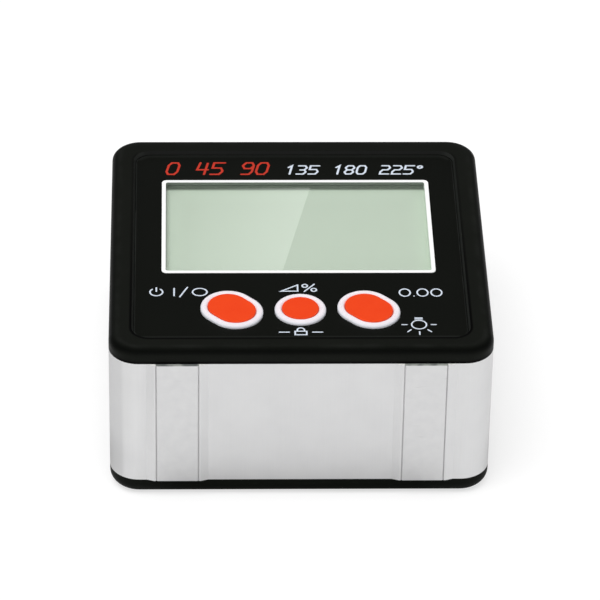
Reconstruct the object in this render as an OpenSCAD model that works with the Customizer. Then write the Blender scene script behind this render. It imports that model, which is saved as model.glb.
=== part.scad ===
// Digital inclinometer box. A square aluminium tube is clamped between a moulded front
// bezel, which carries the display and the keys, and a moulded rear cover, which carries
// two AAA cells behind a snap-in door. The box lies on its rear cover, display up, and
// the measuring face with its two magnet strips looks along -Y. Millimetres.
// Origin: the centre of the rear cover's outer face.

/* [Case] */
// Width of the case, along X
body_w = 60; // [54:0.5:80]
// Depth of the case, along Y
body_d = 60; // [54:0.5:80]
// Radius of the case's upright corners
corner_r = 4.7; // [4:0.1:5.5]
// Height of the rear cover's visible band
rear_h = 3; // [2.5:0.1:5]
// Height of the aluminium tube
tube_h = 22.5; // [20.5:0.5:40]
// Height of the front bezel's visible band
bezel_h = 2.5; // [2.3:0.1:4]
// Fillet round the front bezel's top edge
bezel_fillet = 1.3; // [0.4:0.1:1.6]
// Fillet round the rear cover's bottom edge
rear_fillet = 2; // [0.4:0.1:2.2]
// Wall of the aluminium tube
tube_wall = 2.4; // [2.2:0.1:2.7]
// Gap all round a spigot inside the tube
spigot_gap = 0.15; // [0.1:0.05:0.25]
// Wall of both spigots
spigot_wall = 1.2; // [0.8:0.1:1.6]
// How far each spigot reaches into the tube
spigot_reach = 3; // [1.5:0.5:5]

/* [Measuring face] */
// Distance of each magnet strip's centre from the case's middle
magnet_x = 19.3; // [12:0.1:19.6]
// Visible width of a magnet strip
magnet_w = 6.55; // [5:0.05:6.6]
// Thickness of a magnet strip
magnet_t = 1.4; // [1:0.1:1.5]
// Joint between a magnet strip and each side of its slot
magnet_gap = 0.03; // [0.02:0.01:0.15]
// Bevel of the strip's and the slot's edges along that joint
joint_bevel = 0.12; // [0.05:0.01:0.15]
// Undercut of the slot on each side
magnet_undercut = 0.3; // [0:0.05:0.4]
// Height of the raised lands above the tube's face
land_h = 0.4; // [0.2:0.05:0.8]
// Flat of a land beside its slot
land_flat = 0.35; // [0.2:0.05:0.6]
// Width of the ramp on each side of a land
land_ramp = 1.2; // [0.5:0.1:1.4]

/* [Panel and window] */
// Distance from the case's edge to the panel's recess
panel_inset = 3.6; // [2.8:0.1:4]
// Depth of the panel's face below the bezel's rim
panel_depth = 0.6; // [0.4:0.05:0.8]
// Lean of the recess wall over that depth
panel_lean = 0.25; // [0.1:0.05:0.4]
// Thickness of the label panel
panel_t = 0.5; // [0.3:0.05:0.7]
// Bevel round the label panel's face
panel_bevel = 0.12; // [0.05:0.01:0.15]
// Corner radius of the label panel's recess
panel_r = 2.75; // [1.5:0.25:3]
// Distance from each side of the case to the clear window
window_side = 8.85; // [8:0.05:12]
// Distance from the case's far face to the clear window
window_far = 12.15; // [11.95:0.05:14]
// Distance from the case's measuring face to the clear window
window_near = 22.55; // [22.4:0.05:26]
// Width of the white border round the window
frame_line = 0.64; // [0.6:0.01:1.2]
// How far the border stands above the label panel
frame_proud = 0.05; // [0:0.01:0.2]
// Thickness of the clear lens
lens_t = 0.55; // [0.4:0.05:0.7]
// Lap of the lens under the border
lens_lap = 0.4; // [0.3:0.05:0.5]
// Depth of the display's face below the border's face
display_depth = 1.55; // [1.5:0.05:1.8]

/* [Keys] */
// Spacing of the three keys along X
key_pitch = 10.75; // [10.3:0.05:12]
// Distance from the case's measuring face to the row of keys
key_near = 11.65; // [11.2:0.05:12.2]
// Outer radius of the round key in the middle
round_key_r = 4.04; // [3.6:0.02:4.4]
// End radius of the two oval keys
oval_key_r = 4.33; // [3.6:0.01:4.4]
// Distance between an oval key's two end centres
oval_key_len = 1.68; // [0.4:0.02:2]
// Width of a key's white rim
key_rim = 1.14; // [0.8:0.02:1.4]
// Height of the rim's crest above the label panel
key_stand = 0.55; // [0.4:0.05:1]
// How far the orange pad stands above the rim's crest
pad_rise = 0.05; // [0:0.05:0.2]
// Travel of a key
key_travel = 0.4; // [0.25:0.05:0.45]
// Gap round a key in its hole
key_gap = 0.12; // [0.08:0.01:0.2]
// Flange that keeps a key in, beyond its outline
key_flange = 0.5; // [0.3:0.05:0.6]

/* [Display stack] */
// Thickness of each polariser film
polariser_t = 0.2; // [0.15:0.05:0.25]
// Thickness of each glass plate
glass_t = 0.7; // [0.5:0.1:0.8]
// Thickness of the backlight guide
guide_t = 2.4; // [1.8:0.1:2.6]
// Lap of the lower glass beyond the window
glass_lap = 1.8; // [1.2:0.1:2]
// Contact ledge of the upper glass, on its +Y side
glass_ledge = 2.2; // [2:0.1:2.4]
// Wall of the display holder
holder_wall = 0.9; // [0.7:0.1:1.1]
// Width of the contact strip, along Y
strip_w = 1.3; // [1:0.1:1.4]

/* [Circuit board] */
// Thickness of the circuit board
board_t = 1.6; // [1:0.1:1.6]
// Gap between the board's edge and the tube
board_gap = 0.7; // [0.4:0.1:1]
// Height of a key switch, with its plunger
switch_h = 4.3; // [4.1:0.1:5]
// Height of a key switch's housing
switch_body_h = 3.5; // [3.2:0.1:3.5]
// Side of a key switch's square housing
switch_side = 6; // [5:0.5:6.5]
// Radius of a switch plunger
plunger_r = 1.75; // [1.2:0.05:1.9]
// Running gap round a plunger
plunger_gap = 0.06; // [0.03:0.01:0.1]

/* [Battery bay] */
// Diameter of an AAA cell
cell_d = 10.5; // [9.8:0.1:10.7]
// Distance from each side of the case to the inner end of the battery bay
bay_side = 4.9; // [4.8:0.05:5.2]
// Gap between a cell and what lies round it
cell_gap = 0.3; // [0.2:0.05:0.4]
// Compressed length of a battery spring
spring_len = 4.9; // [4.5:0.1:5.2]
// Wire of a battery spring
spring_wire = 0.6; // [0.4:0.05:0.7]
// Turns of a battery spring
spring_turns = 3.5; // [2.5:0.5:4]
// Thickness of the contact plates
contact_t = 0.4; // [0.3:0.05:0.5]
// Wall of the battery bay
bay_wall = 1.1; // [0.9:0.1:1.3]
// Thickness of the rear cover's floor
floor_t = 2; // [1.8:0.1:2.2]
// Thickness of the battery door
door_t = 1.5; // [1.2:0.1:1.6]
// Depth of the door's face below the cover's face
door_sunk = 0.3; // [0.2:0.05:0.35]
// Gap round the battery door
door_gap = 0.2; // [0.15:0.05:0.3]
// Width of the door's spring latch
latch_w = 10; // [6:0.5:12]
// Bite of the latch's nub over the cover's floor
latch_bite = 0.35; // [0.2:0.05:0.45]
// Width of each hinge hook
hook_w = 5; // [4:0.5:6]
// Distance of each hinge hook from the door's middle
hook_x = 15.5; // [13:0.5:17]

/* [Fasteners] */
// Distance of a case screw from the case's faces
boss_inset = 5.6; // [5.5:0.1:6.2]
// Radius of the corner bosses
boss_r = 2.8; // [2.4:0.1:2.8]
// Height at which the rear and front bosses meet
boss_meet = 9; // [6:0.5:12]
// Shank radius of a case screw
screw_r = 1.25; // [1:0.05:1.4]
// Head radius of a case screw
screw_head_r = 2.2; // [1.9:0.1:2.3]
// Length of a case screw's shank
screw_len = 14; // [10:0.5:15]
// Shank radius of a board screw
board_screw_r = 0.8; // [0.6:0.05:0.95]
// Radius of the board posts
post_r = 1.9; // [1.6:0.1:2]

/* [Hidden] */
$fn = 64;
cut = 1;            // how far a cutting shape runs past a face
seat = 0.05;        // play between pieces that rest on each other

// Heights, from the rear cover up
tube_z = rear_h;
bezel_z = tube_z + tube_h;
top_z = bezel_z + bezel_h;
panel_z = top_z - panel_depth;
recess_z = panel_z - panel_t;
lens_z = recess_z - lens_t;
display_z = panel_z + frame_proud - display_depth;
ledge_z = display_z + seat;
plate_drop = 0.5;   // how far the bezel's plate hangs below the tube's top
plate_z = bezel_z - plate_drop;
flange_t = 0.8;
key_low_z = plate_z - 2 * seat - flange_t;
board_z = key_low_z - switch_h;
board_low_z = board_z - board_t;
upper_glass_z = display_z - polariser_t - glass_t;
lower_glass_z = upper_glass_z - glass_t;
guide_top_z = lower_glass_z - polariser_t;
guide_z = guide_top_z - guide_t;

// Plan sizes that several pieces share
inner_w = body_w - 2 * tube_wall;
inner_d = body_d - 2 * tube_wall;
inner_r = corner_r - tube_wall;
spigot_w = inner_w - 2 * spigot_gap;
spigot_d = inner_d - 2 * spigot_gap;
pocket_w = spigot_w - 2 * spigot_wall;
pocket_d = spigot_d - 2 * spigot_wall;
panel_w = body_w - 2 * panel_inset;
panel_d = body_d - 2 * panel_inset;
boss_x = body_w / 2 - boss_inset;
boss_y = body_d / 2 - boss_inset;
window_w = body_w - 2 * window_side;
window_d = body_d - window_far - window_near;
window_y = (window_near - window_far) / 2;
key_y = key_near - body_d / 2;
frame_w = window_w + 2 * frame_line;
frame_d = window_d + 2 * frame_line;
frame_r = 0.8;
pane_gap = 0.06;    // gap round the label panel, border and lens
lens_w = window_w + 2 * lens_lap;
lens_d = window_d + 2 * lens_lap;
glass_w = window_w + 2 * glass_lap;
glass_d = window_d + 2 * glass_lap;
glass_low_y = window_y - glass_d / 2;
glass_gap = 0.15;
holder_w = glass_w + 2 * (glass_gap + holder_wall);
holder_low_y = glass_low_y - glass_gap - holder_wall;
holder_high_y = window_y + glass_d / 2 + glass_ledge + glass_gap + holder_wall;
strip_margin = 0.2; // from the contact strip to the upper glass's edge
strip_y = window_y + glass_d / 2 + glass_ledge - strip_w / 2 - strip_margin;
strip_len = window_w - 2;
key_post = 9.75;    // from an outer key's centre to the board post beside it
far_post = [12, 2.7];   // a far post's place from the middle and from the tube's inside
post_spots = [for (s = [-1, 1]) each [[s * (key_pitch + key_post), key_y],
    [s * far_post[0], inner_d / 2 - far_post[1]]]];
boss_spots = [for (sx = [-1, 1], sy = [-1, 1]) [sx * boss_x, sy * boss_y]];
peg_spots = [for (s = [-1, 1]) [s * (holder_w / 2 - 1.3), holder_low_y + 12]];
peg_r = 0.6;

// Keys: place, end radius, length between end centres
key_turn = -45;
power_key = [-key_pitch, oval_key_r, oval_key_len];
hold_key = [0, round_key_r, 0];
zero_key = [key_pitch, oval_key_r, oval_key_len];
all_keys = [power_key, hold_key, zero_key];

// Battery bay and door
cell_r = cell_d / 2;
cell_y = cell_r + cell_gap / 2;
door_top_z = door_sunk + door_t;
cell_z = door_top_z + cell_gap + cell_r;
bay_low_z = door_top_z + seat;
bay_roof_z = cell_z + cell_r + cell_gap;
roof_t = 1.2;
bay_len = body_w - 2 * bay_side;
cell_len = bay_len - spring_len - 2 * contact_t;    // an AAA cell, 44.5 with its nub
bay_half_d = cell_y + cell_r + cell_gap;
bay_out_d = bay_half_d + bay_wall;
contact_x = bay_len / 2 - contact_t;
contact_half = 4;   // half of a contact plate's width, and its reach above the cell's axis
contact_low_z = cell_z - 3.3;
contact_high_z = cell_z + contact_half;
door_lap = 0.9;
door_w = bay_len + 2 * door_lap;
door_half_d = bay_out_d + 1;
door_r = 1.5;
latch_leg = 0.8;
latch_y = -door_half_d + 0.6;
latch_turn_r = 1.5;
latch_far_y = latch_y - latch_leg / 2 - 2 * latch_turn_r;
latch_low_z = door_sunk + 0.2;
latch_high_z = floor_t + 3;
latch_room = 0.45;  // room for the latch as it swings out
rib_spots = [8, 22];
rib_t = 1.2;
rib_high_z = 8;

// A filled outline with round corners
module rounded_rect(w, d, r) {
    square([w - 2 * r, d], center = true);
    square([w, d - 2 * r], center = true);
    for (sx = [-1, 1], sy = [-1, 1])
        translate([sx * (w / 2 - r), sy * (d / 2 - r)]) circle(r);
}

module rounded_plate(w, d, r, z0, z1) {
    translate([0, 0, z0]) linear_extrude(z1 - z0) rounded_rect(w, d, r);
}

// Carries a profile, given as distance from the corner centres and height, round a
// rectangle with round corners, and fills the middle from z0 to z1
module swept_block(w, d, r, z0, z1) {
    cx = w / 2 - r;
    cy = d / 2 - r;
    for (q = [0:3])
        translate([(q == 0 || q == 3) ? cx : -cx, q < 2 ? cy : -cy, 0])
            rotate([0, 0, 90 * q]) rotate_extrude(angle = 90) children();
    for (s = [0, 1]) {
        mirror([0, s, 0]) translate([-cx, cy, 0]) rotate([90, 0, 90])
            linear_extrude(2 * cx) children();
        mirror([s, 0, 0]) translate([cx, cy, 0]) rotate([90, 0, 0])
            linear_extrude(2 * cy) children();
    }
    translate([-cx, -cy, z0]) cube([2 * cx, 2 * cy, z1 - z0]);
}

// Half of a slab's section, from its middle out to r, with a fillet at either edge
module edge_profile(r, z0, z1, low_f, high_f) {
    translate([0, z0 + low_f]) square([r, z1 - z0 - low_f - high_f]);
    translate([0, z0]) square([r - max(low_f, high_f), z1 - z0]);
    for (e = [[low_f, z0 + low_f, z0], [high_f, z1 - high_f, z1 - high_f]])
        if (e[0] > 0) {
            square_z = e[2];
            translate([0, square_z]) square([r - e[0], e[0]]);
            intersection() {
                translate([r - e[0], e[1]]) circle(e[0]);
                translate([r - e[0], square_z]) square(e[0]);
            }
        }
}

// Carries a profile, given as radius and height, round a key's outline
module key_block(key) {
    half = key[2] / 2;
    translate([key[0], key_y, 0]) rotate([0, 0, key_turn]) {
        for (s = [-1, 1])
            translate([s * half, 0, 0]) rotate([0, 0, -90 * s])
                rotate_extrude(angle = 180) children();
        if (half > 0)
            for (s = [0, 1])
                mirror([0, s, 0]) translate([-half, 0, 0]) rotate([90, 0, 90])
                    linear_extrude(key[2]) children();
    }
}

// The straight-walled block of a key's outline, grown by g
module key_prism(key, g, z0, z1) {
    key_block(key) translate([0, z0]) square([key[1] + g, z1 - z0]);
}

// A ring of rectangular section for a spigot or a lid
module wall_ring(w, d, r, t, z0, z1) {
    translate([0, 0, z0]) linear_extrude(z1 - z0) difference() {
        rounded_rect(w, d, r);
        rounded_rect(w - 2 * t, d - 2 * t, max(r - t, 0.5));
    }
}

module upright(spot, r, z0, z1) {
    translate([spot[0], spot[1], z0]) cylinder(r = r, h = z1 - z0);
}

module box(x0, x1, y0, y1, z0, z1) {
    translate([x0, y0, z0]) cube([x1 - x0, y1 - y0, z1 - z0]);
}

// Front bezel: rim, sunk panel seat, window, key holes, spigot, bosses and board posts
module front_bezel() {
    lean_r = panel_r - panel_lean;
    color([0.1, 0.1, 0.1]) difference() {
        union() {
            swept_block(body_w, body_d, corner_r, bezel_z, top_z)
                edge_profile(corner_r, bezel_z, top_z, 0, bezel_fillet);
            rounded_plate(spigot_w, spigot_d, inner_r, plate_z, bezel_z + seat);
            wall_ring(spigot_w, spigot_d, inner_r, spigot_wall, bezel_z - spigot_reach, bezel_z);
            for (p = boss_spots) upright(p, boss_r, boss_meet + seat, bezel_z);
            for (p = post_spots) upright(p, post_r, board_z, bezel_z);
        }
        // The panel's recess: straight beside the panel, leaning above it
        rounded_plate(panel_w - 2 * panel_lean, panel_d - 2 * panel_lean, lean_r,
            recess_z, panel_z + seat);
        swept_block(panel_w, panel_d, panel_r, panel_z, top_z + seat)
            polygon([[0, panel_z], [lean_r, panel_z], [panel_r, top_z],
                [panel_r, top_z + seat], [0, top_z + seat]]);
        // The window: a pocket for the lens, an opening, and room for the display below
        translate([0, window_y, 0]) {
            rounded_plate(lens_w + 2 * pane_gap, lens_d + 2 * pane_gap, frame_r, lens_z, recess_z + cut);
            rounded_plate(window_w, window_d, frame_r / 2, plate_z - cut, lens_z + cut);
        }
        box(-holder_w / 2 - glass_gap, holder_w / 2 + glass_gap, holder_low_y - glass_gap,
            holder_high_y + glass_gap, board_z, ledge_z);
        for (key = all_keys) key_prism(key, key_gap, plate_z - cut, recess_z + cut);
        for (p = boss_spots)
            upright(p, screw_r + 0.02, boss_meet - cut, floor_t + screw_len + cut);
        for (p = post_spots)
            upright(p, board_screw_r + 0.02, board_z - cut, board_z + board_screw_bite + 0.5);
    }
}

// Printed label panel, glued into the bezel's recess
module overlay_panel() {
    inset = 2 * (panel_lean + pane_gap);
    edge_r = panel_r - panel_lean;
    color([0.09, 0.09, 0.09]) difference() {
        swept_block(panel_w - inset, panel_d - inset, edge_r, recess_z, panel_z)
            polygon([[0, recess_z], [edge_r, recess_z], [edge_r, panel_z - panel_bevel],
                [edge_r - panel_bevel, panel_z], [0, panel_z]]);
        translate([0, window_y, 0])
            rounded_plate(frame_w + 2 * pane_gap, frame_d + 2 * pane_gap, frame_r,
                recess_z - cut, panel_z + cut);
        for (key = all_keys) key_prism(key, key_gap, recess_z - cut, panel_z + cut);
    }
}

// White border that holds the lens down
module window_frame() {
    color([1, 1, 1]) translate([0, window_y, recess_z])
        linear_extrude(panel_t + frame_proud) difference() {
            rounded_rect(frame_w, frame_d, frame_r);
            rounded_rect(window_w, window_d, frame_r / 2);
        }
}

module window_lens() {
    color([0.85, 0.92, 0.9, 0.4]) translate([0, window_y, 0])
        rounded_plate(lens_w, lens_d, frame_r, lens_z, recess_z);
}

module front_polariser() {
    color([0.76, 0.82, 0.75]) translate([0, window_y, 0])
        box(-glass_w / 2 + 0.5, glass_w / 2 - 0.5, -glass_d / 2 + 0.5, glass_d / 2 - 0.5,
            display_z - polariser_t, display_z);
}

// Upper glass plate, longer on its +Y side, where its contacts look down
module lcd_upper_glass() {
    color([0.8, 0.9, 0.85, 0.5])
        box(-glass_w / 2, glass_w / 2, glass_low_y, glass_low_y + glass_d + glass_ledge,
            upper_glass_z, upper_glass_z + glass_t);
}

module lcd_lower_glass() {
    color([0.75, 0.88, 0.8, 0.5])
        box(-glass_w / 2, glass_w / 2, glass_low_y, glass_low_y + glass_d,
            lower_glass_z, upper_glass_z);
}

module rear_polariser() {
    color([0.7, 0.72, 0.68]) translate([0, window_y, 0])
        box(-glass_w / 2 + 0.5, glass_w / 2 - 0.5, -glass_d / 2 + 0.5, glass_d / 2 - 0.5,
            guide_top_z, lower_glass_z);
}

// Clear acrylic plate that spreads the lamps' light, with a bevelled far edge
module backlight_guide() {
    bevel = guide_t / 3;
    color([0.9, 0.95, 1, 0.6]) translate([-glass_w / 2, glass_low_y, guide_z])
        rotate([90, 0, 90]) linear_extrude(glass_w)
            polygon([[0, 0], [glass_d - bevel, 0], [glass_d, bevel], [glass_d, guide_t],
                [0, guide_t]]);
}

// Two side-shining lamps that stand on the board in the holder's notches
led_w = 3.8;
led_t = 1.1;
led_x = glass_w / 4;
module backlight_leds() {
    for (s = [-1, 1]) translate([s * led_x, glass_low_y - glass_gap, 0]) {
        color([0.95, 0.95, 0.85])
            box(-led_w / 2, led_w / 2, -led_t, 0, board_z, guide_top_z - 0.4);
        color([0.8, 0.8, 0.8])
            box(-led_w / 2 - 0.5, led_w / 2 + 0.5, -led_t, -led_t / 3, board_z, board_z + 0.5);
    }
}

// White frame on the board that carries the guide, both glasses and the contact strip
module lcd_holder() {
    in_w = glass_w + 2 * glass_gap;
    in_low = glass_low_y - glass_gap;
    in_high = glass_low_y + glass_d + glass_gap;
    shelf = 2.2;
    color([0.93, 0.93, 0.92]) difference() {
        union() {
            box(-holder_w / 2, holder_w / 2, holder_low_y, holder_high_y, board_z, display_z);
            for (p = peg_spots) upright(p, peg_r, board_z - board_t / 2, board_z + cut);
        }
        box(-in_w / 2, in_w / 2, in_low, in_high, guide_z, display_z + cut);
        box(-in_w / 2, in_w / 2, in_low, holder_high_y - holder_wall, upper_glass_z,
            display_z + cut);
        box(-in_w / 2 + shelf, in_w / 2 - shelf, in_low + shelf, in_high - shelf,
            board_z - cut, guide_z + cut);
        box(-strip_len / 2 - glass_gap / 2, strip_len / 2 + glass_gap / 2,
            strip_y - strip_w / 2 - glass_gap / 2, strip_y + strip_w / 2 + glass_gap / 2,
            board_z - cut, upper_glass_z + cut);
        for (s = [-1, 1]) translate([s * led_x, in_low, 0])
            box(-led_w / 2 - 0.7, led_w / 2 + 0.7, -2 * led_t, glass_gap, board_z - cut,
                guide_top_z - 0.2);
        for (p = post_spots) upright(p, post_r + 0.3, board_z - cut, top_z);
    }
}

// Elastomer strip that joins the upper glass's contacts to the board
module contact_strip() {
    color([0.85, 0.45, 0.55])
        box(-strip_len / 2, strip_len / 2, strip_y - strip_w / 2, strip_y + strip_w / 2,
            board_z, upper_glass_z);
}

// Circuit board, notched round the corner bosses
module main_board() {
    w = inner_w - 2 * board_gap;
    d = inner_d - 2 * board_gap;
    notch_x = boss_x - boss_r - 0.3;
    notch_y = boss_y - boss_r - 0.3;
    color([0.1, 0.35, 0.18]) translate([0, 0, board_low_z]) linear_extrude(board_t)
        difference() {
            square([w, d], center = true);
            for (sx = [0, 1], sy = [0, 1]) mirror([sx, 0]) mirror([0, sy])
                translate([notch_x, notch_y]) square([w, d]);
            for (p = post_spots) translate(p) circle(board_screw_r + 0.15);
            for (p = peg_spots) translate(p) circle(peg_r + 0.1);
            for (s = [-1, 1]) translate([-bay_len / 2 - 0.1, s * cell_y - tab_w / 2 - 0.1])
                square([contact_t + 0.2, tab_w + 0.2]);
        }
}

// Pan-head screw with a cross recess, its head's seat at the origin, shank along +Z
module pan_screw(r, head_r, head_t, len) {
    slot = head_r / 4;
    difference() {
        union() {
            cylinder(r = r, h = len);
            translate([0, 0, -head_t]) cylinder(r1 = head_r * 0.8, r2 = head_r, h = head_t / 2);
            translate([0, 0, -head_t / 2]) cylinder(r = head_r, h = head_t / 2);
        }
        for (a = [0, 90]) rotate([0, 0, a]) translate([0, 0, -head_t])
            cube([head_r * 1.1, slot, head_t], center = true);
    }
}

board_screw_bite = 4;   // length of thread in a post
board_head_t = 1.1;
module board_screws() {
    color([0.75, 0.75, 0.72]) for (p = post_spots)
        translate([p[0], p[1], board_low_z])
            pan_screw(board_screw_r, 2 * board_screw_r, board_head_t,
                board_t + board_screw_bite);
}

// Tilt sensor in a flat package that stands on three pads along each of two sides
sensor_side = 4;
sensor_t = 1.1;
sensor_pad = [0.5, 0.6, 0.2];
module tilt_sensor() {
    half = sensor_side / 2;
    pad_z = board_low_z - sensor_pad[2] / 2;
    color([0.13, 0.13, 0.14]) {
        box(-half, half, -half, half, pad_z - sensor_t, pad_z);
        for (s = [-1, 1], i = [-1, 0, 1])
            translate([i * 0.3 * sensor_side, s * (half - sensor_pad[1] / 2 + seat), pad_z])
                cube(sensor_pad, center = true);
    }
}

// Controller in a flat square package with legs on all four sides
chip_spot = [-11, -2];
chip_side = 10;
chip_t = 1.5;
chip_leg = [0.35, 1.1, 0.2];
chip_leg_pitch = 0.95;
module controller_chip() {
    legs = 9;
    color([0.12, 0.12, 0.13]) translate([chip_spot[0], chip_spot[1], board_low_z]) {
        translate([0, 0, -chip_t / 2 - chip_leg[2] / 2])
            cube([chip_side, chip_side, chip_t], center = true);
        for (q = [0:3], i = [0:legs - 1])
            rotate([0, 0, 90 * q])
                translate([(i - (legs - 1) / 2) * chip_leg_pitch,
                    chip_side / 2 + chip_leg[1] / 2 - 0.15, -chip_leg[2] / 2])
                    cube(chip_leg, center = true);
    }
}

// Clock crystal: a metal can with round ends, flat on the board beside the battery bay
crystal_len = 9.6;
crystal_w = 3.6;
crystal_h = 3;
crystal_spot = [3, bay_out_d + 4.4];
module clock_crystal() {
    color([0.8, 0.8, 0.8]) translate([crystal_spot[0], crystal_spot[1], board_low_z - crystal_h])
        linear_extrude(crystal_h) {
            square([crystal_len - crystal_w, crystal_w], center = true);
            for (s = [-1, 1])
                translate([s * (crystal_len - crystal_w) / 2, 0]) circle(crystal_w / 2);
        }
}

capacitor = [2, 1.25, 1.2];
capacitor_spots = [[12, -6], [12, -9], [12, 1], [-1, 4], [-4, 7], [-11, 7], [15, -4]];
module board_capacitors() {
    color([0.7, 0.6, 0.45]) for (p = capacitor_spots)
        translate([p[0], p[1], board_low_z - capacitor[2] / 2]) cube(capacitor, center = true);
}

// Housing of a key switch: base, top plate with four rivets, and four feet
module switch_housing(key) {
    half = switch_side / 2;
    top = board_z + switch_body_h;
    well_z = board_z + switch_h - flange_t - key_travel - 0.4;
    translate([key[0], key_y, 0]) difference() {
        union() {
            box(-half, half, -half, half, board_z + 0.1, top - 0.3);
            box(-half + 0.2, half - 0.2, -half + 0.2, half - 0.2, board_z + 1, top - 0.1);
            for (sx = [-1, 1], sy = [-1, 1]) {
                translate([sx * (half - 0.9), sy * (half - 0.9), board_z + 1])
                    cylinder(r = 0.45, h = switch_body_h - 1);
                translate([sx * (half - 0.8), sy * (half + 0.2), board_z + 0.15])
                    cube([0.8, 1.6, 0.3], center = true);
            }
        }
        translate([0, 0, well_z - 0.2])
            cylinder(r = plunger_r + plunger_gap, h = switch_h);
    }
}

module power_switch() { color([0.2, 0.2, 0.22]) switch_housing(power_key); }
module hold_switch() { color([0.2, 0.2, 0.22]) switch_housing(hold_key); }
module zero_switch() { color([0.2, 0.2, 0.22]) switch_housing(zero_key); }

module switch_plunger(key) {
    low_z = board_z + switch_h - flange_t - 0.4;
    translate([key[0], key_y, low_z]) cylinder(r = plunger_r, h = key_low_z - low_z);
}

module power_plunger() { color([0.15, 0.15, 0.15]) switch_plunger(power_key); }
module hold_plunger() { color([0.15, 0.15, 0.15]) switch_plunger(hold_key); }
module zero_plunger() { color([0.15, 0.15, 0.15]) switch_plunger(zero_key); }

// White body of a key: flange, stem and a rim with a round crest round the pad's well
pad_low_z = plate_z;
crest_f = 0.43 * key_rim;   // fillet at either side of the crest
module key_rim_body(key) {
    crest_z = panel_z + key_stand;
    well_r = key[1] - key_rim;
    difference() {
        union() {
            key_prism(key, key_flange, key_low_z, key_low_z + flange_t);
            key_block(key) edge_profile(key[1], key_low_z, crest_z, 0, crest_f);
        }
        key_prism(key, -key_rim, pad_low_z, crest_z + cut);
        key_block(key) difference() {
            translate([0, crest_z - crest_f]) square([well_r + crest_f, crest_f + seat]);
            translate([well_r + crest_f, crest_z - crest_f]) circle(crest_f);
        }
    }
}

module power_key_rim() { color([0.93, 0.93, 0.95]) key_rim_body(power_key); }
module hold_key_rim() { color([0.93, 0.93, 0.95]) key_rim_body(hold_key); }
module zero_key_rim() { color([0.93, 0.93, 0.95]) key_rim_body(zero_key); }

// Orange pad in the rim's well, with a softly broken edge
pad_edge = 0.12;
module key_pad_body(key) {
    pad_r = key[1] - key_rim - 0.02;
    key_block(key)
        edge_profile(pad_r, pad_low_z, panel_z + key_stand + pad_rise, 0, pad_edge);
}

module power_key_pad() { color([0.95, 0.29, 0.13]) key_pad_body(power_key); }
module hold_key_pad() { color([0.95, 0.29, 0.13]) key_pad_body(hold_key); }
module zero_key_pad() { color([0.95, 0.29, 0.13]) key_pad_body(zero_key); }

// Section of a dovetail slot or strip, from its half width at the mouth and its depth. The
// mouth's bevelled edges open by flare.
module dovetail(half, depth, flare) {
    side = half + magnet_undercut * joint_bevel / depth;
    foot = half + magnet_undercut;
    polygon([[-half - flare, 0], [half + flare, 0], [side, joint_bevel], [foot, depth],
        [-foot, depth], [-side, joint_bevel]]);
}

// Extruded tube with two raised lands on its measuring face, each slotted for a strip
module tube_body() {
    face_y = -body_d / 2;
    slot_half = magnet_w / 2 + magnet_gap;
    flat_half = slot_half + land_flat;
    slot_depth = magnet_t + 0.1;
    color([0.83, 0.83, 0.84]) translate([0, 0, tube_z]) linear_extrude(tube_h)
        difference() {
            union() {
                rounded_rect(body_w, body_d, corner_r);
                for (s = [-1, 1]) translate([s * magnet_x, face_y])
                    polygon([[-flat_half, -land_h], [flat_half, -land_h],
                        [flat_half + land_ramp, 0], [flat_half, tube_wall / 2],
                        [-flat_half, tube_wall / 2], [-flat_half - land_ramp, 0]]);
            }
            rounded_rect(inner_w, inner_d, inner_r);
            for (s = [-1, 1]) translate([s * magnet_x, face_y - land_h]) {
                dovetail(slot_half, slot_depth, joint_bevel);
                translate([-slot_half, -cut]) square([2 * slot_half, cut + joint_bevel]);
            }
        }
}

module magnet_strip(side) {
    color([0.78, 0.78, 0.79])
        translate([side * magnet_x, -body_d / 2 - land_h, tube_z])
            linear_extrude(tube_h) dovetail(magnet_w / 2, magnet_t, -joint_bevel);
}

module magnet_strip_left() { magnet_strip(-1); }
module magnet_strip_right() { magnet_strip(1); }

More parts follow.
